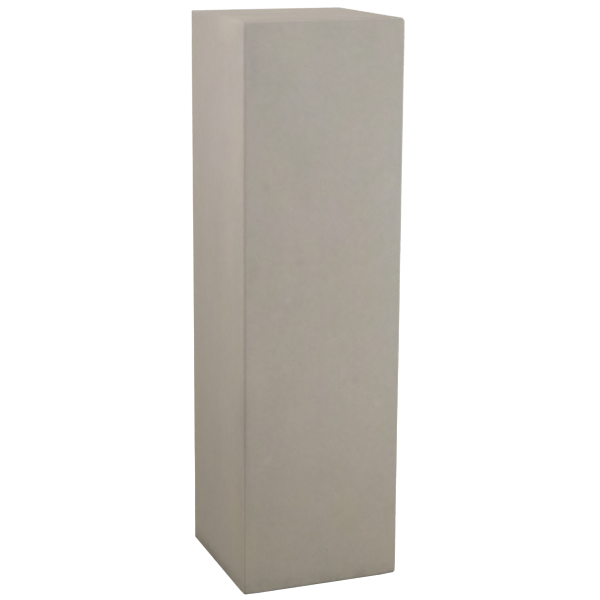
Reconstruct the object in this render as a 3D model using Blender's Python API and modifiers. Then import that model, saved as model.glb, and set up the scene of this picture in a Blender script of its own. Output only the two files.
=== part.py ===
"""A tall square column of moulded clay: one tapered shell, closed on top and open underneath.

Metres, +Z up. The origin is at the middle of the foot, and the column's faces look along X and Y.
"""

import bmesh
import bpy
from mathutils import Vector

# The outside, measured over its flat faces as if the corners were sharp.
HEIGHT = 1.000
BASE_WIDTH = 0.293
TOP_WIDTH = 0.288

# Roundings that the mould leaves: the upright and top arrises, and the worn edge of the foot.
ARRIS_RADIUS = 0.0055
FOOT_RADIUS = 0.003

# The shell: its four sides, its top slab, and the fillet in the corners of the hollow.
WALL = 0.010
TOP_THICKNESS = 0.012
HOLLOW_FILLET = 0.012

# How far the cutter for the hollow runs past the underside.
CUTTER_OVERRUN = 0.020

# Facets across each rounding.
ARRIS_SEGMENTS = 8
FILLET_SEGMENTS = 8
SHARP_ANGLE = 0.6

CLAY_COLOUR = (0.402, 0.361, 0.309, 1.0)
CLAY_ROUGHNESS = 0.86
CLAY_METALLIC = 0.0


def clear_scene():
    for item in list(bpy.data.objects):
        bpy.data.objects.remove(item, do_unlink=True)


def new_collection(name):
    collection = bpy.data.collections.new(name)
    bpy.context.scene.collection.children.link(collection)
    return collection


def clay_material():
    material = bpy.data.materials.new("clay")
    material.use_nodes = True
    shader = material.node_tree.nodes["Principled BSDF"]
    shader.inputs["Base Color"].default_value = CLAY_COLOUR
    shader.inputs["Roughness"].default_value = CLAY_ROUGHNESS
    shader.inputs["Metallic"].default_value = CLAY_METALLIC
    return material


def width_at(height):
    """The outside width over the faces at a height, on the straight taper from foot to top."""
    return BASE_WIDTH + (TOP_WIDTH - BASE_WIDTH) * height / HEIGHT


def tapered_block(name, collection, bottom, top, low_width, high_width):
    """A square block from one height to another, with its own width at each end."""
    bm = bmesh.new()
    bmesh.ops.create_cube(bm, size=1.0)
    for vert in bm.verts:
        upper = vert.co.z > 0
        width = high_width if upper else low_width
        vert.co = Vector((vert.co.x * width, vert.co.y * width, top if upper else bottom))
    mesh = bpy.data.meshes.new(name)
    bm.to_mesh(mesh)
    bm.free()
    block = bpy.data.objects.new(name, mesh)
    collection.objects.link(block)
    return block


def round_edges(block, segments, radius, foot_radius):
    """Rounds the uprights and the top to one radius and the bottom edges to another, by edge weights."""
    largest = max(radius, foot_radius)
    mesh = block.data
    middle = sum(vert.co.z for vert in mesh.vertices) / len(mesh.vertices)
    weights = mesh.attributes.new("bevel_weight_edge", "FLOAT", "EDGE")
    for edge in mesh.edges:
        at_foot = all(mesh.vertices[index].co.z < middle for index in edge.vertices)
        weights.data[edge.index].value = (foot_radius if at_foot else radius) / largest
    bevel = block.modifiers.new("rounding", "BEVEL")
    bevel.limit_method = "WEIGHT"
    bevel.width = largest
    bevel.segments = segments


def make_hollow(collection):
    """The cutter for the inside: it follows the taper one wall in, and runs out through the foot."""
    bottom = -CUTTER_OVERRUN
    top = HEIGHT - TOP_THICKNESS
    hollow = tapered_block(
        "hollow_cutter",
        collection,
        bottom,
        top,
        width_at(bottom) - 2 * WALL,
        width_at(top) - 2 * WALL,
    )
    round_edges(hollow, FILLET_SEGMENTS, HOLLOW_FILLET, 0.0)
    hollow.hide_render = True
    hollow.display_type = "WIRE"
    return hollow


def make_column(collection, hollow, material):
    """The clay shell: a tapered block with rounded arrises, less its hollow."""
    column = tapered_block("column", collection, 0.0, HEIGHT, BASE_WIDTH, TOP_WIDTH)
    round_edges(column, ARRIS_SEGMENTS, ARRIS_RADIUS, FOOT_RADIUS)
    cut = column.modifiers.new("hollow", "BOOLEAN")
    cut.operation = "DIFFERENCE"
    cut.solver = "EXACT"
    cut.object = hollow
    column.data.materials.append(material)
    column.data.shade_smooth()
    column.data.set_sharp_from_angle(angle=SHARP_ANGLE)
    return column


def main():
    clear_scene()
    parts = new_collection("clay column")
    cutters = new_collection("cutters")
    hollow = make_hollow(cutters)
    make_column(parts, hollow, clay_material())


main()
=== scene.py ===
import math
import random

import bpy
import numpy as np
from mathutils import Euler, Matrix, Quaternion, Vector, noise


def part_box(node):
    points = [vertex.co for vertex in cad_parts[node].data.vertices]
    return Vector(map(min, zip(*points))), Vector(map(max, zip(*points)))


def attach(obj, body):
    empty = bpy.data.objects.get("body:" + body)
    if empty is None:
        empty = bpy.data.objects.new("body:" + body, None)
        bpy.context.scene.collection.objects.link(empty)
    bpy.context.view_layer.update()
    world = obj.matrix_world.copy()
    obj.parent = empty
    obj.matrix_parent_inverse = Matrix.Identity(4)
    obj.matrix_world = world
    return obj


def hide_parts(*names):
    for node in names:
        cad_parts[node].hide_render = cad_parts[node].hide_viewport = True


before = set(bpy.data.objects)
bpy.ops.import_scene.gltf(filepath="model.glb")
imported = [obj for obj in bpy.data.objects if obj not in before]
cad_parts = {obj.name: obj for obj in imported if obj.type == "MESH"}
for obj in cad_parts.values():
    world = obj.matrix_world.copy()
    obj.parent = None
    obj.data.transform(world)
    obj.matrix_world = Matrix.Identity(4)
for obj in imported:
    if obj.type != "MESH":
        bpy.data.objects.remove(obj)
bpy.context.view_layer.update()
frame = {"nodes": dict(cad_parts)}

print("frame loaded, nodes:", ", ".join(frame["nodes"]))

scene = bpy.context.scene
scene.view_settings.view_transform = "Standard"

low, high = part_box("column")

# The column's form, in metres; its foot and its height are those of the solid that it stands for
column = {
    "footHalf": (high[0] - low[0]) / 2,     # half the width over the faces, at the foot
    "height": high[2] - low[2],
    "topNarrower": 0.0025,      # what the taper has taken off each side at the top
    "rounding": 0.0055,         # of the uprights and the top edges
    "roundingWander": [(13.0, 0.14)],   # (waves to the metre, share of the rounding)
    "footRounding": 0.003,
    "footReach": 0.009,         # how far up the foot's rounding is felt
    "arrisReach": 0.012,        # and how near an upright it gives way to the upright's own
    "wall": 0.010,
    "topSlab": 0.012,
    "hollowFillet": 0.012,
    "rimRounding": 0.0015,      # inner edge of the rim
    "rimLip": 0.3,              # share of that rounding at which its middle line lies
    "rimParts": (0.35, 0.75),   # where lines lie on the flat of the rim, from its outer edge
    "acrossCuts": 60,
    "upCuts": 232,
    "roundCuts": 4,             # across half of a rounding
    "hollowCuts": 40,
    "filletCuts": 3,
    "arrisShadeSpill": 0.3,          # how much of an arris's painted shade lies on the flats beside it
    # how each corner came out of the mould: (side in X, side in Y, end), and its rounding
    # in plan and in height
    "corners": [
        ((-1, -1, 0), 0.0052, 0.0042),
        ((1, -1, 0), 0.0060, 0.0060),
        ((-1, 1, 0), 0.0050, 0.0025),
        ((1, 1, 0), 0.0055, 0.0040),
        ((-1, -1, 1), 0.0060, 0.0060),
        ((1, -1, 1), 0.0060, 0.0065),
        ((-1, 1, 1), 0.0055, 0.0012),
        ((1, 1, 1), 0.0055, 0.0050),
    ],
    "cornerReach": 0.013,
    # unevenness of the pressed clay: (waves to the metre, how far out or in)
    "relief": [(3.1, 0.00045), (9.0, 0.00018), (31.0, 0.00007), (75.0, 0.00004)],
    "hollowRelief": [(14.0, 0.0007), (45.0, 0.0004)],
    "rimRelief": [(60.0, 0.0003)],
    "wavesApart": (5.3, 1.7, 8.1),      # keeps each size of wave unlike the next
    "footSettle": 0.012,        # the unevenness dies away over this height above the foot
    "hollowSettle": 0.048,      # and inside the hollow over this one
}

pinholes = {
    "seed": 7,
    "tries": 1300,
    "margin": 2,                # cells kept free beside the roundings
    "finest": 0.0003,           # radius
    "widest": 0.0010,
    "fineness": 3,              # the higher, the fewer wide ones
    "depth": 0.7,               # in radii
    "longer": (0.75, 1.3),      # longer along the face and narrower up it by this much
    "uneven": (0.85, 1.15),     # how much its edge wanders
    "drift": 0.6,               # how far off its lines, in radii
    "rings": [(1.45, 0.0), (1.0, 0.12), (0.62, 0.78)],  # (radii from the middle, share of the depth)
    "clusters": 6.0,            # to the metre
    "sparse": 0.05,             # the higher, the more ground without any
    "scatter": 0.3,             # the higher, the softer the clusters' edges
    "faceWidth": 0.29,          # for the clusters' layout: how wide a side is
    "sideApart": 3.1,           # and how far apart the sides' own clusters are drawn
    "tops": 26,                 # how many on the top face
    "topWidest": 0.0009,
    "topFineness": 2,
}


def halfAt(z):
    return column["footHalf"] - column["topNarrower"] * z / column["height"]


def ripple(places, waves):
    rise = np.zeros(len(places))
    for number, (perMetre, amount) in enumerate(waves):
        shift = Vector([step * number for step in column["wavesApart"]])
        rise += amount * np.array([noise.noise(Vector(p) * perMetre + shift) for p in places])
    return rise


def roundingAt(places):
    # in plan and in height: small at the foot, wandering a little, and its own at each corner
    wander = column["rounding"] * (1 + ripple(places, column["roundingWander"]))
    atFoot = np.exp(-(places[:, 2] / column["footReach"]) ** 2)
    fromArris = halfAt(places[:, 2]) - np.abs(places[:, :2]).min(1)
    onFace = 1 - np.exp(-(fromArris / column["arrisReach"]) ** 2)
    inPlan = wander + (column["footRounding"] - wander) * atFoot * onFace
    inHeight = wander + (column["footRounding"] - wander) * atFoot
    for (sideX, sideY, end), ownPlan, ownHeight in column["corners"]:
        z = end * column["height"]
        corner = np.array([sideX * halfAt(z), sideY * halfAt(z), z])
        near = np.exp(-((places - corner) ** 2).sum(1) / column["cornerReach"] ** 2)
        inPlan += (ownPlan - inPlan) * near
        inHeight += (ownHeight - inHeight) * near
    return np.stack([inPlan, inPlan, inHeight], 1)


def stations(cuts, lowest):
    # lines across a face: (share of the flat, tilt), where a tilt of 1 is the middle of a rounding
    bend = [k / column["roundCuts"] for k in range(column["roundCuts"], 0, -1)]
    flat = [lowest + (1 - lowest) * k / cuts for k in range(cuts + 1)]
    return [(lowest, -t) for t in bend] + [(f, 0) for f in flat] + [(1, t) for t in reversed(bend)]


acrossLine = stations(column["acrossCuts"], -1)
upLine = stations(column["upCuts"], 0)
lastAcross, lastUp = len(acrossLine) - 1, len(upLine) - 1


def skinPlaces(keys):
    # where the outer skin's points lie, and the way that each faces
    lines = [(acrossLine[i], acrossLine[j], upLine[k]) for i, j, k in keys]
    share, tilt = np.array(lines, float).transpose(2, 0, 1)
    height = column["height"]
    plain = halfAt(share[:, 2] * height)
    nominal = np.stack([share[:, 0] * plain, share[:, 1] * plain, share[:, 2] * height], 1)
    radius = roundingAt(nominal)
    foot = roundingAt(nominal * (1, 1, 0))[:, 2]
    top = roundingAt(nominal * (1, 1, 0) + (0, 0, height))[:, 2]
    core = np.empty_like(share)
    core[:, 2] = foot + share[:, 2] * (height - top - foot)
    for axis in (0, 1):
        inset = np.where(np.abs(share[:, axis]) == 1, radius[:, axis], column["rounding"])
        core[:, axis] = share[:, axis] * (halfAt(core[:, 2]) - inset)
    way = np.tan(tilt * math.pi / 4)
    way /= np.linalg.norm(way, axis=1)[:, None]
    places = core + way * radius
    settle = np.clip(places[:, 2] / column["footSettle"], 0, 1)
    places += way * (ripple(places, column["relief"]) * settle)[:, None]
    # how much of an arris each point belongs to; the painted shade of the arrises reaches a little onto
    # the flats
    bends = (np.abs(tilt) > 0).sum(1)
    arris = np.where(bends > 1, 1.0, 0.0)
    ends = (np.abs(share[:, :2]) == 1).sum(1) + (share[:, 2] == 0) + (share[:, 2] == 1)
    arris = np.where((bends == 1) & (ends > 1), column["arrisShadeSpill"], arris)
    return places, way, arris


def hollowPlaces(share, z):
    # points of a plain tapered hollow, brought onto its fillets
    fillet = column["hollowFillet"]
    ceiling = column["height"] - column["topSlab"]
    half = halfAt(z) - column["wall"]
    plain = np.stack([share[:, 0] * half, share[:, 1] * half, z], 1)
    core = plain.copy()
    for axis in (0, 1):
        core[:, axis] = np.clip(plain[:, axis], fillet - half, half - fillet)
    core[:, 2] = np.minimum(z, ceiling - fillet)
    way = plain - core
    length = np.linalg.norm(way, axis=1)
    way /= np.where(length > 0, length, 1)[:, None]
    places = core + way * fillet
    settle = np.clip(z / column["hollowSettle"], 0, 1)
    return places - way * (np.abs(ripple(places, column["hollowRelief"])) * settle)[:, None]


class Shell:  # points, faces and texture places of the piece, gathered before the mesh is made
    def __init__(self):
        self.points = []
        self.faces = []
        self.laidOut = []
        self.arris = []
        self.hole = []

    def add(self, places, arris=0.0, hole=0.0):
        first = len(self.points)
        self.points += [tuple(p) for p in places]
        self.arris += list(arris) if np.ndim(arris) else [arris] * len(places)
        self.hole += [hole] * len(places)
        return list(range(first, len(self.points)))

    def face(self, corners, spread):
        self.faces.append(corners)
        self.laidOut += spread


def lengthsAlong(line, flat, rounding):
    # how far each line lies from the first, over the rounding and the flat
    steps = [0.0]
    for (shareA, tiltA), (shareB, tiltB) in zip(line, line[1:]):
        wide = (shareB - shareA) * flat + abs(tiltB - tiltA) * rounding * math.pi / 4
        steps.append(steps[-1] + wide)
    return steps


# The texture map that a bake writes to: (left, bottom, scale) of each stretch of clay
textureMap = {
    "sides": (0.004, 0.004, 0.72),
    "top": (0.004, 0.738, 0.86),
    "hollow": (0.268, 0.738, 0.25),
    "foot": (0.856, 0.02, 0.42),
    "ceiling": (0.856, 0.18, 0.42),
}


def laid(stretch, u, v):
    left, bottom, scale = textureMap[stretch]
    return left + u * scale, bottom + v * scale


def skinKey(where, a, k):
    # station a along the top, or along a side: back, left, front, right, anticlockwise from above
    if where == "top":
        return a, k, lastUp
    far = lastAcross
    return [(far - a, far, k), (0, far - a, k), (a, 0, k), (far, a, k)][where]


def evenLine(rng, last):
    # an even line number, clear of the roundings
    margin = column["roundCuts"] + pinholes["margin"]
    return 2 * rng.randrange(margin // 2, (last - margin) // 2 + 1)


def pinholeSize(rng, widest, fineness):
    return pinholes["finest"] + (widest - pinholes["finest"]) * rng.random() ** fineness


def choosePinholes(rng):
    # places for pinholes on the sides and the top, on even lines so that none share a cell
    chosen = {}
    for _ in range(pinholes["tries"]):
        side = rng.randrange(4)
        a = evenLine(rng, lastAcross)
        k = evenLine(rng, lastUp)
        size = pinholeSize(rng, pinholes["widest"], pinholes["fineness"])
        along = side * pinholes["sideApart"] + a / lastAcross * pinholes["faceWidth"]
        crowd = noise.noise(Vector((along, k / lastUp, 0)) * pinholes["clusters"])
        if crowd > pinholes["sparse"] + pinholes["scatter"] * rng.random():
            chosen[side, a, k] = size
    for _ in range(pinholes["tops"]):
        a = evenLine(rng, lastAcross)
        k = evenLine(rng, lastAcross)
        chosen["top", a, k] = pinholeSize(rng, pinholes["topWidest"], pinholes["topFineness"])
    return chosen


# Steps from a point to the eight round it, anticlockwise from the lower left
neighbours = [(-1, -1), (0, -1), (1, -1), (1, 0), (1, 1), (0, 1), (-1, 1), (-1, 0)]


def sinkPinhole(shell, rng, size, point, axes, rim, laidRim, laidMiddle, scale):
    # replaces the four cells round a point by rings that go down into a small hole
    middle = np.array(shell.points[point])
    along, up, way = axes
    deep = size * pinholes["depth"]
    longer = rng.uniform(*pinholes["longer"])
    drift = pinholes["drift"]
    driftA, driftB = [rng.uniform(-drift, drift) * size for _ in range(2)]
    uneven = [rng.uniform(*pinholes["uneven"]) for _ in rim]

    def placed(a, b, sunk):
        place = middle + along * a + up * b - way * deep * sunk
        return place, (laidMiddle[0] + a * scale, laidMiddle[1] + b * scale)

    outer, laidOuter = rim, laidRim
    for reach, sunk in pinholes["rings"]:
        ring = []
        for (stepA, stepB), stray in zip(neighbours, uneven):
            angle = math.atan2(stepB, stepA)
            radius = size * reach * stray
            a = driftA + math.cos(angle) * radius * longer
            b = driftB + math.sin(angle) * radius / longer
            ring.append(placed(a, b, sunk))
        inner = shell.add([place for place, _ in ring], hole=sunk)
        laidInner = [laidPlace for _, laidPlace in ring]
        for n in range(len(rim)):
            m = (n + 1) % len(rim)
            spread = [laidOuter[n], laidOuter[m], laidInner[m], laidInner[n]]
            shell.face([outer[n], outer[m], inner[m], inner[n]], spread)
        outer, laidOuter = inner, laidInner
    bottom, laidBottom = placed(driftA, driftB, 1)
    shell.points[point] = tuple(bottom)
    shell.hole[point] = 1.0
    for n in range(len(rim)):
        m = (n + 1) % len(rim)
        shell.face([outer[n], outer[m], point], [laidOuter[n], laidOuter[m], laidBottom])


def makeShell():
    shell = Shell()
    rng = random.Random(pinholes["seed"])
    holes = choosePinholes(rng)
    edge = column["roundCuts"]
    keys = {}
    for k in range(lastUp + 1):
        for i in range(lastAcross + 1):
            for j in range(lastAcross + 1):
                onSide = i in (0, lastAcross) or j in (0, lastAcross)
                onFoot = k == 0 and min(i, j, lastAcross - i, lastAcross - j) <= edge
                if onSide or onFoot or k == lastUp:
                    keys[i, j, k] = len(keys)
    places, ways, arris = skinPlaces(list(keys))
    shell.add(places, arris=arris)
    flat = 2 * (column["footHalf"] - column["rounding"]) - column["topNarrower"]
    alongAcross = lengthsAlong(acrossLine, flat / 2, column["rounding"])
    alongUp = lengthsAlong(upLine, column["height"] - 2 * column["rounding"], column["rounding"])

    def layPatch(where, stretch, start, upward):
        # a side or the top: its pinholes first, and then the cells that they leave
        def pointAt(a, k):
            return keys[skinKey(where, a, k)]

        def laidAt(a, k):
            return laid(stretch, start + alongAcross[a], upward[k])

        taken = set()
        for (owner, a, k), size in holes.items():
            if owner != where:
                continue
            point = pointAt(a, k)
            along = places[pointAt(a + 1, k)] - places[pointAt(a - 1, k)]
            up = places[pointAt(a, k + 1)] - places[pointAt(a, k - 1)]
            axes = along / np.linalg.norm(along), up / np.linalg.norm(up), ways[point]
            ring = [(a + stepA, k + stepK) for stepA, stepK in neighbours]
            rim = [pointAt(*spot) for spot in ring]
            laidRim = [laidAt(*spot) for spot in ring]
            scale = textureMap[stretch][2]
            sinkPinhole(shell, rng, size, point, axes, rim, laidRim, laidAt(a, k), scale)
            taken.update([(a - 1, k - 1), (a, k - 1), (a - 1, k), (a, k)])
        for k in range(len(upward) - 1):
            for a in range(lastAcross):
                if (a, k) not in taken:
                    corners = [(a, k), (a + 1, k), (a + 1, k + 1), (a, k + 1)]
                    shell.face([pointAt(*c) for c in corners], [laidAt(*c) for c in corners])

    for side in range(4):
        layPatch(side, "sides", side * alongAcross[-1], alongUp)
    layPatch("top", "top", 0, alongAcross)

    # underneath, the cells of the rounding, in as far as the flat of the rim
    for i in range(lastAcross):
        for j in range(lastAcross):
            if min(i, j, lastAcross - 1 - i, lastAcross - 1 - j) < edge:
                corners = [(i, j), (i, j + 1), (i + 1, j + 1), (i + 1, j)]
                spread = [laid("foot", alongAcross[a], alongAcross[b]) for a, b in corners]
                shell.face([keys[a, b, 0] for a, b in corners], spread)
    print("outer skin:", len(shell.points), "points,", len(holes), "pinholes")
    addHollow(shell, keys, places)
    return shell


def loopStations():
    # once round the flat of the rim, anticlockwise from above
    first, last = column["roundCuts"], lastAcross - column["roundCuts"]
    line = range(first, last)
    front = [(i, first) for i in line]
    right = [(last, j) for j in line]
    back = [(last - (i - first), last) for i in line]
    left = [(first, last - (j - first)) for j in line]
    return front + right + back + left


def laidOnRim(shell, point):
    x, y, z = shell.points[point]
    return laid("foot", x + column["footHalf"], y + column["footHalf"])


def addHollow(shell, keys, places):
    loop = loopStations()
    count = len(loop)
    share = np.array([(acrossLine[i][0], acrossLine[j][0]) for i, j in loop])
    rimOuter = [keys[i, j, 0] for i, j in loop]
    outerEdge = places[rimOuter]
    innerEdge = hollowPlaces(share, np.zeros(count))

    # the flat of the rim, between the two edges, slightly uneven where it was rubbed down
    rings = [rimOuter]
    for part in column["rimParts"]:
        flatPlaces = outerEdge + (innerEdge - outerEdge) * part
        flatPlaces[:, 2] = np.abs(ripple(flatPlaces, column["rimRelief"]))
        rings.append(shell.add(flatPlaces))
    inward = innerEdge - outerEdge
    inward[:, 2] = 0
    inward /= np.linalg.norm(inward, axis=1)[:, None]
    eased = column["rimRounding"] * column["rimLip"]
    lip = innerEdge - inward * eased
    lip[:, 2] = eased
    rings.append(shell.add(lip))
    rimSteps = len(rings) - 1

    # up the walls, over the fillet, to the ceiling
    ceiling = column["height"] - column["topSlab"]
    fillet = column["hollowFillet"]
    straight = np.linspace(column["rimRounding"], ceiling - fillet, column["hollowCuts"])
    over = np.tan(np.linspace(0, math.pi / 4, column["filletCuts"] + 1)[1:])
    levels = list(straight) + list(ceiling - fillet * (1 - over))
    heights = [0.0] * len(rings) + levels
    for z in levels[:-1]:
        rings.append(shell.add(hollowPlaces(share, np.full(count, z))))
    cuts = [f for f, tilt in acrossLine if tilt == 0]
    spots = [(a, b) for a in range(len(cuts)) for b in range(len(cuts))]
    cutShares = np.array([(cuts[a], cuts[b]) for a, b in spots])
    under = hollowPlaces(cutShares, np.full(len(spots), ceiling))
    number = dict(zip(spots, shell.add(under)))
    first = column["roundCuts"]
    rings.append([number[i - first, j - first] for i, j in loop])

    wayRound = [n * (cuts[1] - cuts[0]) * halfAt(0) for n in range(count + 1)]
    for step, (lower, upper) in enumerate(zip(rings, rings[1:])):
        for n in range(count):
            m = (n + 1) % count
            corners = [lower[n], upper[n], upper[m], lower[m]]
            if step < rimSteps:
                spread = [laidOnRim(shell, c) for c in corners]
            else:
                turned = [(n, step), (n, step + 1), (n + 1, step + 1), (n + 1, step)]
                spread = [laid("hollow", wayRound[s], heights[t]) for s, t in turned]
            shell.face(corners, spread)
    alongCeiling = [(cut + 1) * halfAt(column["height"]) for cut in cuts]
    for a in range(len(cuts) - 1):
        for b in range(len(cuts) - 1):
            corners = [(a, b), (a, b + 1), (a + 1, b + 1), (a + 1, b)]
            spread = [laid("ceiling", alongCeiling[s], alongCeiling[t]) for s, t in corners]
            shell.face([number[c] for c in corners], spread)


def makeColumn():
    shell = makeShell()
    mesh = bpy.data.meshes.new("column_surface")
    mesh.from_pydata(shell.points, [], shell.faces)
    bakeMap = mesh.uv_layers.new(name="OFBake")
    bakeMap.uv.foreach_set("vector", np.array(shell.laidOut, np.float32).ravel())
    for name, values in (("arris", shell.arris), ("pinhole", shell.hole)):
        layer = mesh.attributes.new(name, "FLOAT", "POINT")
        layer.data.foreach_set("value", np.array(values, np.float32))
    mesh.shade_smooth()
    mesh.validate()
    surface = bpy.data.objects.new("column_surface", mesh)
    scene.collection.objects.link(surface)
    triangles = sum(len(face.vertices) - 2 for face in mesh.polygons)
    print("column surface:", len(mesh.vertices), "points,", triangles, "triangles")
    return surface


surface = makeColumn()


# Shader maths, written as sums
class Wire:
    def __init__(self, bench, socket):
        self.bench = bench
        self.socket = socket

    def __add__(self, other):
        return self.bench.maths("ADD", self, other)

    def __radd__(self, other):
        return self.bench.maths("ADD", other, self)

    def __sub__(self, other):
        return self.bench.maths("SUBTRACT", self, other)

    def __rsub__(self, other):
        return self.bench.maths("SUBTRACT", other, self)

    def __mul__(self, other):
        return self.bench.maths("MULTIPLY", self, other)

    def __rmul__(self, other):
        return self.bench.maths("MULTIPLY", other, self)


class Bench:
    def __init__(self, name):
        self.material = bpy.data.materials.new(name)
        self.material.use_nodes = True
        self.tree = self.material.node_tree
        self.shader = self.tree.nodes["Principled BSDF"]

    def add(self, kind, settings, inputs, output=0):
        node = self.tree.nodes.new(kind)
        for name, value in settings.items():
            setattr(node, name, value)
        for name, value in inputs.items():
            self.feed(node.inputs[name], value)
        return Wire(self, node.outputs[output])

    def feed(self, socket, value):
        if isinstance(value, Wire):
            self.tree.links.new(value.socket, socket)
        else:
            socket.default_value = value

    def maths(self, operation, first, second):
        return self.add("ShaderNodeMath", {"operation": operation}, {0: first, 1: second})

    def vector(self, operation, first, second, output=0):
        settings = {"operation": operation}
        return self.add("ShaderNodeVectorMath", settings, {0: first, 1: second}, output)

    def scaled(self, colour, factor):
        settings = {"operation": "SCALE"}
        return self.add("ShaderNodeVectorMath", settings, {0: colour, "Scale": factor})

    def mixed(self, first, second, factor):
        # numbered sockets, because this node has several of each name: these are the colour's
        settings = {"data_type": "RGBA"}
        return self.add("ShaderNodeMix", settings, {0: factor, 6: first, 7: second}, 2)

    def fade(self, value, start, end):
        settings = {"interpolation_type": "SMOOTHSTEP"}
        inputs = {"Value": value, "From Min": start, "From Max": end}
        return self.add("ShaderNodeMapRange", settings, inputs)

    def clouds(self, place, shape, stretch=(1, 1, 1)):
        perMetre, detail, rough = shape
        spread = self.vector("MULTIPLY", place, tuple(perMetre * s for s in stretch))
        inputs = {"Vector": spread, "Scale": 1.0, "Detail": detail, "Roughness": rough}
        return self.add("ShaderNodeTexNoise", {}, inputs)


clay = {
    "top": (0.396, 0.363, 0.322, 1),      # colour at the top
    "foot": (0.408, 0.361, 0.290, 1),     # and near the foot
    "warm": (1.05, 1.0, 0.93, 1),         # tints of the clouds in the clay
    "cool": (0.97, 1.0, 1.04, 1),
    "rosy": (1.010, 0.996, 1.014, 1),     # tints of its smaller patches
    "olive": (0.991, 1.003, 0.982, 1),
    "roughness": 0.88,
    "shine": 0.25,
    "bump": 0.0009,
    # how much each layer of the grain lightens and darkens the clay, lifts it and roughens it
    "tones": {"cloud": 0.10, "patch": 0.09, "mottle": 0.13, "sand": 0.13, "dust": 0.16, "streak": 0.05},
    "rises": {"patch": 0.5, "mottle": 0.24, "sand": 0.13, "dust": 0.05},
    "roughens": {"sand": 0.12, "patch": 0.08},
    "fleckTone": 0.10,                    # scattered grains, some paler and some darker than the clay
    "fleckRise": 0.03,
    "fleckWaves": 260.0,                  # to the metre
    # painted shade along every arris, standing in for the shade of the roundings
    "arrisPaintedShade": -0.10,
    "arrisSmoothing": 0.06,
    "frontArrisTone": 0.05,               # the arris between the two broad views gets less of the painted shade
    "footArrisPaintedLight": 0.12,                # and paler towards its foot: painted light in place of the light that the floor would throw up
    "topArrisTone": 0.06,                 # the edges of the top get less of the painted shade too
    "leftFlankTone": 0.04,                # the left one least, but for the middle of its rounding, which gets painted shade against the light it catches from the left and top lamps
    "leftRidgeTone": -0.11,
    "leftRidge": 0.36,                    # where that is full, as a share of the rounding
    # painted contact shade, darker towards the foot and along its lowest edge
    "footPaintedShade": -0.07,
    "rimPaintedShade": -0.12,
    "splashTone": -0.10,                  # uneven dirt just above the floor
    # painted shade down in the pinholes
    "pinholePaintedShade": -0.16,
    "turn": (0.62, 0.48, 0.81),           # of the grain, off the faces' own directions
    "streakStretch": (1, 1, 0.06),
    "wobble": 0.02,                       # how far the spots' outlines wander, in metres
    "wobbleWaves": 40.0,
}

# Layers of the grain: (waves to the metre, detail, roughness of the noise)
grains = {
    "cloud": (3.4, 3.0, 0.5),
    "patch": (15.0, 4.0, 0.6),
    "mottle": (85.0, 3.0, 0.6),
    "sand": (430.0, 2.0, 0.6),
    "dust": (1300.0, 1.0, 0.5),
    "streak": (30.0, 3.0, 0.5),
    "dirt": (70.0, 3.0, 0.6),
    "tint": (7.0, 5.0, 0.65),
    "smallTint": (24.0, 3.0, 0.55),
}

# Where each change starts and where it is full: heights in metres where nothing else is said
fades = {
    "foot": (0.035, 0.004),
    "rim": (0.007, 0.001),
    "splash": (0.030, 0.004),
    "upward": (0.05, 0.95),               # from the foot's colour to the top's
    "footArris": (0.32, 0.16),
    "topArris": (0.982, 0.997),
    "leftArris": (-0.125, -0.140),        # along X
    "frontArris": (-0.20, -0.26),         # X and Y together
    "dirt": (0.46, 0.66),                 # value of the noise
    "smallTint": (0.42, 0.58),
    "paleKind": (0.86, 0.88),             # random number of a fleck
    "darkKind": (0.13, 0.11),
    "paleFleck": (0.26, 0.12),            # distance from its middle, in cells
    "darkFleck": (0.24, 0.12),
    "spot": (1.25, 0.1),                  # the same, in half sizes of a spot
}

noiseMiddle = 0.5
untinted = (1, 1, 1, 1)
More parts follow.
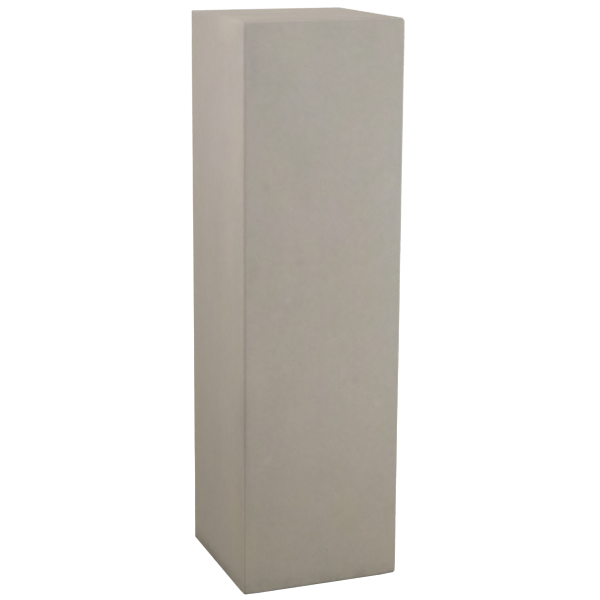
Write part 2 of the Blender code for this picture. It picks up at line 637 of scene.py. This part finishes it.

# Soft spots and streaks: (X, Y, Z of the middle), (half sizes), lighter or darker. Some are blotches of
# the clay itself, and some are painted light and shade: painted shade low on the front face and along
# the foot of the left face, painted highlights on the top and along its front edge
marks = [
    # painted shade, darker towards the foot of the front face
    ((0.000, -0.146, 0.000), (0.300, 0.03, 0.180), -0.06),
    ((0.030, -0.146, 0.400), (0.260, 0.03, 0.130), 0.028),
    ((0.125, -0.145, 0.960), (0.080, 0.03, 0.130), -0.04),
    ((-0.146, 0.050, 0.620), (0.03, 0.250, 0.120), -0.02),
    # painted contact shade along the foot of the left face
    ((-0.146, 0.000, 0.000), (0.03, 0.300, 0.034), -0.10),
    ((-0.146, 0.030, 0.005), (0.03, 0.150, 0.012), -0.09),
    ((-0.110, -0.146, 0.002), (0.060, 0.03, 0.008), 0.08),
    ((-0.100, -0.146, 0.020), (0.060, 0.03, 0.050), -0.02),
    ((-0.060, -0.060, 1.000), (0.110, 0.055, 0.03), 0.045),
    ((0.070, -0.075, 1.000), (0.090, 0.045, 0.03), 0.045),
    ((-0.125, -0.060, 1.000), (0.035, 0.090, 0.03), 0.04),
    ((-0.080, -0.145, 0.965), (0.090, 0.03, 0.045), 0.035),
    ((-0.110, -0.146, 0.200), (0.080, 0.03, 0.220), -0.04),
    ((-0.146, -0.125, 0.250), (0.03, 0.030, 0.220), -0.03),
    ((-0.143, -0.143, 0.350), (0.012, 0.012, 0.150), -0.03),
    ((-0.144, 0.144, 0.450), (0.012, 0.012, 0.500), -0.04),
    # painted highlight along the front edge of the top
    ((0.000, -0.144, 1.000), (0.200, 0.012, 0.012), 0.03),
    ((-0.143, -0.143, 1.000), (0.012, 0.012, 0.014), -0.04),
    ((-0.138, -0.146, 0.210), (0.008, 0.03, 0.100), -0.03),
    ((-0.146, -0.133, 0.345), (0.03, 0.012, 0.060), -0.05),
    ((-0.146, -0.135, 0.757), (0.03, 0.012, 0.050), -0.04),
    ((-0.070, -0.146, 0.365), (0.045, 0.03, 0.050), -0.035),
    ((0.011, -0.146, 0.200), (0.055, 0.03, 0.045), -0.035),
    ((-0.071, -0.145, 0.556), (0.035, 0.03, 0.035), 0.025),
    ((-0.019, -0.144, 0.930), (0.080, 0.03, 0.045), 0.025),
    ((-0.044, -0.145, 0.750), (0.040, 0.03, 0.070), -0.03),
    ((0.117, -0.145, 0.721), (0.030, 0.03, 0.030), 0.04),
    ((0.130, -0.146, 0.050), (0.060, 0.03, 0.050), 0.02),
    ((-0.145, -0.050, 0.620), (0.03, 0.060, 0.060), 0.02),
    ((-0.144, -0.060, 0.985), (0.03, 0.085, 0.030), 0.045),
    ((-0.128, -0.144, 0.929), (0.010, 0.03, 0.060), -0.05),
    ((-0.130, -0.145, 0.581), (0.010, 0.03, 0.030), -0.06),
    ((-0.105, -0.145, 0.726), (0.008, 0.03, 0.010), -0.06),
    ((-0.030, -0.145, 0.707), (0.009, 0.03, 0.007), -0.05),
    ((-0.044, -0.145, 0.592), (0.010, 0.03, 0.009), -0.05),
    ((0.063, -0.146, 0.375), (0.011, 0.03, 0.009), -0.05),
    ((-0.067, -0.145, 0.530), (0.010, 0.03, 0.009), 0.05),
    ((-0.085, -0.145, 0.505), (0.012, 0.03, 0.008), 0.05),
    ((0.104, -0.146, 0.329), (0.010, 0.03, 0.010), 0.05),
    ((-0.101, -0.146, 0.247), (0.012, 0.03, 0.010), 0.05),
    ((-0.145, -0.069, 0.682), (0.03, 0.003, 0.030), 0.04),
    ((-0.145, 0.021, 0.594), (0.03, 0.003, 0.040), 0.04),
    ((-0.145, -0.058, 0.582), (0.03, 0.003, 0.026), 0.04),
    ((-0.146, -0.067, 0.300), (0.03, 0.004, 0.034), 0.04),
    ((-0.146, -0.089, 0.248), (0.03, 0.003, 0.030), 0.04),
]

# Broad casts of colour: (X, Y, Z of the middle), (half sizes), colour
casts = [
    ((0.132, -0.146, 0.600), (0.045, 0.03, 0.400), (0.965, 1.0, 1.02, 1)),
    ((-0.146, -0.030, 0.800), (0.03, 0.130, 0.260), (1.01, 1.0, 1.03, 1)),
    ((0.000, -0.146, 0.260), (0.300, 0.03, 0.260), (1.0, 1.0, 1.045, 1)),
    ((0.000, -0.146, 0.900), (0.200, 0.03, 0.120), (0.985, 1.0, 0.995, 1)),
    ((-0.030, -0.146, 0.660), (0.100, 0.03, 0.060), (1.02, 1.0, 1.03, 1)),
    ((-0.030, -0.146, 0.535), (0.100, 0.03, 0.040), (0.985, 1.0, 1.005, 1)),
    ((-0.146, 0.000, 0.280), (0.03, 0.300, 0.320), (0.988, 1.0, 1.012, 1)),
    ((-0.143, -0.130, 0.110), (0.030, 0.050, 0.110), (0.995, 1.0, 0.945, 1)),
    ((0.045, -0.146, 0.130), (0.040, 0.03, 0.060), (0.995, 1.0, 0.965, 1)),
    ((-0.146, 0.120, 0.230), (0.03, 0.040, 0.120), (1.000, 1.0, 0.965, 1)),
]


def clayMaterial():
    bench = Bench("moulded_clay")
    place = bench.add("ShaderNodeTexCoord", {}, {}, "Object")
    side = bench.add("ShaderNodeSeparateXYZ", {}, {"Vector": place}, "X")
    up = bench.add("ShaderNodeSeparateXYZ", {}, {"Vector": place}, "Z")
    arris = bench.add("ShaderNodeAttribute", {"attribute_name": "arris"}, {}, "Fac")
    hole = bench.add("ShaderNodeAttribute", {"attribute_name": "pinhole"}, {}, "Fac")

    # the grain is turned off the faces' own directions, so that no weave shows in it
    turning = {"rotation_type": "EULER_XYZ"}
    turned = {"Vector": place, "Rotation": clay["turn"]}
    skew = bench.add("ShaderNodeVectorRotate", turning, turned)
    layer = {name: bench.clouds(skew, shape) for name, shape in grains.items() if name != "streak"}
    layer["streak"] = bench.clouds(place, grains["streak"], clay["streakStretch"])

    flecks = {"Vector": place, "Scale": clay["fleckWaves"]}
    fleckColour = bench.add("ShaderNodeTexVoronoi", {}, flecks, "Color")
    fleckAway = bench.add("ShaderNodeTexVoronoi", {}, flecks, "Distance")
    kind = bench.add("ShaderNodeSeparateColor", {}, {"Color": fleckColour}, "Red")
    paleFleck = bench.fade(kind, *fades["paleKind"]) * bench.fade(fleckAway, *fades["paleFleck"])
    darkFleck = bench.fade(kind, *fades["darkKind"]) * bench.fade(fleckAway, *fades["darkFleck"])
    fleck = paleFleck - darkFleck

    # lighter and darker
    tone = 1 + fleck * clay["fleckTone"]
    for name, amount in clay["tones"].items():
        tone = tone + (layer[name] - noiseMiddle) * amount
    waves = {"Vector": place, "Scale": clay["wobbleWaves"]}
    wander = bench.add("ShaderNodeTexNoise", {}, waves, "Color")
    wander = bench.vector("SUBTRACT", wander, (noiseMiddle,) * 3)
    wobbled = bench.vector("ADD", place, bench.scaled(wander, clay["wobble"]))

    def spot(middle, sizes):
        offset = bench.vector("DIVIDE", bench.vector("SUBTRACT", wobbled, middle), sizes)
        away = bench.vector("LENGTH", offset, (0, 0, 0), "Value")
        return bench.fade(away, *fades["spot"])

    for middle, sizes, markTone in marks:
        tone = tone + spot(middle, sizes) * markTone

    # painted shade along the arrises, less of it on the two edges that show paler, painted light
    # towards the front arris's foot, and painted shade down the middle of the top-left edge's rounding
    across = bench.vector("DOT_PRODUCT", place, (1, 1, 0), "Value")
    frontArrisPaintedLight = bench.fade(up, *fades["footArris"]) * clay["footArrisPaintedLight"] + clay["frontArrisTone"]
    frontArris = bench.fade(across, *fades["frontArris"]) * frontArrisPaintedLight
    flank = halfAt(column["height"]) + column["height"] - column["rounding"]
    ridge = bench.fade(up - side, flank, flank + clay["leftRidge"] * column["rounding"])
    leftTone = ridge * clay["leftRidgeTone"] + clay["leftFlankTone"]
    leftArris = bench.fade(side, *fades["leftArris"]) * leftTone
    topArris = bench.fade(up, *fades["topArris"]) * (leftArris + clay["topArrisTone"])
    tone = tone + arris * (clay["arrisPaintedShade"] + frontArris + topArris)

    # painted shade in the pinholes and along the foot and its lowest edge, and uneven dirt at the foot
    tone = tone + hole * clay["pinholePaintedShade"]
    tone = tone + bench.fade(up, *fades["foot"]) * clay["footPaintedShade"]
    tone = tone + bench.fade(up, *fades["rim"]) * clay["rimPaintedShade"]
    splash = bench.fade(layer["dirt"], *fades["dirt"]) * bench.fade(up, *fades["splash"])
    tone = tone + splash * clay["splashTone"]

    # colour: paler and cooler above, warmer at the foot, with warm and cool clouds
    ground = bench.mixed(clay["foot"], clay["top"], bench.fade(up, *fades["upward"]))
    tint = bench.mixed(clay["cool"], clay["warm"], layer["tint"])
    ground = bench.vector("MULTIPLY", ground, tint)
    smaller = bench.fade(layer["smallTint"], *fades["smallTint"])
    ground = bench.vector("MULTIPLY", ground, bench.mixed(clay["olive"], clay["rosy"], smaller))
    for middle, sizes, cast in casts:
        tint = bench.mixed(untinted, cast, spot(middle, sizes))
        ground = bench.vector("MULTIPLY", ground, tint)
    bench.feed(bench.shader.inputs["Base Color"], bench.scaled(ground, tone))

    rough = clay["roughness"] - arris * clay["arrisSmoothing"]
    for name, amount in clay["roughens"].items():
        rough = rough + (layer[name] - noiseMiddle) * amount
    bench.feed(bench.shader.inputs["Roughness"], rough)
    bench.shader.inputs["Specular IOR Level"].default_value = clay["shine"]
    rise = fleck * clay["fleckRise"]
    for name, amount in clay["rises"].items():
        rise = rise + layer[name] * amount
    lifted = {"Height": rise, "Distance": clay["bump"], "Strength": 1.0}
    bench.feed(bench.shader.inputs["Normal"], bench.add("ShaderNodeBump", {}, lifted))
    print("clay material:", len(bench.tree.nodes), "nodes")
    return bench.material


surface.data.materials.append(clayMaterial())
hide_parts("column")
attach(surface, "root")


studio = {
    "floorSide": 120.0,
    "floorShade": 0.30,
    "floorRoughness": 0.9,
    "floorGlow": 0.97,
    "fill": 0.20,
    # name, place, aim, (width, height), watts, colour
    "softboxes": [
        ("left_softbox", (-1.374, -0.302, 1.165), (0, 0, 0.6), (0.9, 1.2), 20.1, (1.0, 0.985, 1.0)),
        ("right_softbox", (1.541, -1.354, 1.048), (0, 0, 0.6), (0.9, 1.2), 48.1, (0.955, 0.98, 1.0)),
        ("top_softbox", (0.3, 0.9, 2.8), (0, 0, 0.8), (1.2, 1.2), 33.8, (1.0, 0.985, 0.985)),
    ],
}

camera = {
    "place": (-1.0129, -2.6730, 1.1922),
    "lens": 97.96,
    "sensor": 36.0,
    "turned": 20.981,   # degrees to the right of straight along +Y
    "down": 13.787,
    "roll": 0.348,
}


def makeFloor():
    half = studio["floorSide"] / 2
    mesh = bpy.data.meshes.new("floor")
    corners = [(-half, -half, 0), (half, -half, 0), (half, half, 0), (-half, half, 0)]
    mesh.from_pydata(corners, [], [(0, 1, 2, 3)])
    floor = bpy.data.objects.new("floor", mesh)
    scene.collection.objects.link(floor)
    bench = Bench("pale_floor")
    shade = studio["floorShade"]
    bench.shader.inputs["Base Color"].default_value = (shade, shade, shade, 1)
    bench.shader.inputs["Roughness"].default_value = studio["floorRoughness"]
    bench.shader.inputs["Specular IOR Level"].default_value = 0.0
    bench.shader.inputs["Emission Color"].default_value = (1, 1, 1, 1)
    bench.shader.inputs["Emission Strength"].default_value = studio["floorGlow"]
    mesh.materials.append(bench.material)
    # keeps the bright floor from filling the foot of the column with light
    floor.visible_diffuse = False
    floor.visible_glossy = False


def makeLights():
    for name, place, aim, (wide, tall), watts, colour in studio["softboxes"]:
        data = bpy.data.lights.new(name, "AREA")
        data.shape = "RECTANGLE"
        data.size, data.size_y = wide, tall
        data.energy = watts
        data.color = colour
        lamp = bpy.data.objects.new(name, data)
        lamp.location = place
        lamp.rotation_euler = (Vector(aim) - Vector(place)).to_track_quat("-Z", "Y").to_euler()
        lamp.visible_camera = False
        scene.collection.objects.link(lamp)
    world = bpy.data.worlds.new("studio")
    world.use_nodes = True
    nodes, links = world.node_tree.nodes, world.node_tree.links
    background = nodes["Background"]
    background.inputs["Color"].default_value = (1, 1, 1, 1)
    path = nodes.new("ShaderNodeLightPath")
    strength = nodes.new("ShaderNodeMapRange")
    strength.inputs["To Min"].default_value = studio["fill"]
    links.new(path.outputs["Is Camera Ray"], strength.inputs["Value"])
    links.new(strength.outputs["Result"], background.inputs["Strength"])
    scene.world = world


def makeCamera():
    data = bpy.data.cameras.new("camera")
    data.lens = camera["lens"]
    data.sensor_width = camera["sensor"]
    holder = bpy.data.objects.new("camera", data)
    holder.location = camera["place"]
    tilt, turn = math.radians(90 - camera["down"]), math.radians(-camera["turned"])
    level = Euler((tilt, 0, turn)).to_quaternion()
    rolled = level @ Quaternion((0, 0, 1), math.radians(camera["roll"]))
    holder.rotation_euler = rolled.to_euler()
    scene.collection.objects.link(holder)
    scene.camera = holder


makeFloor()
makeLights()
makeCamera()
print("studio set")
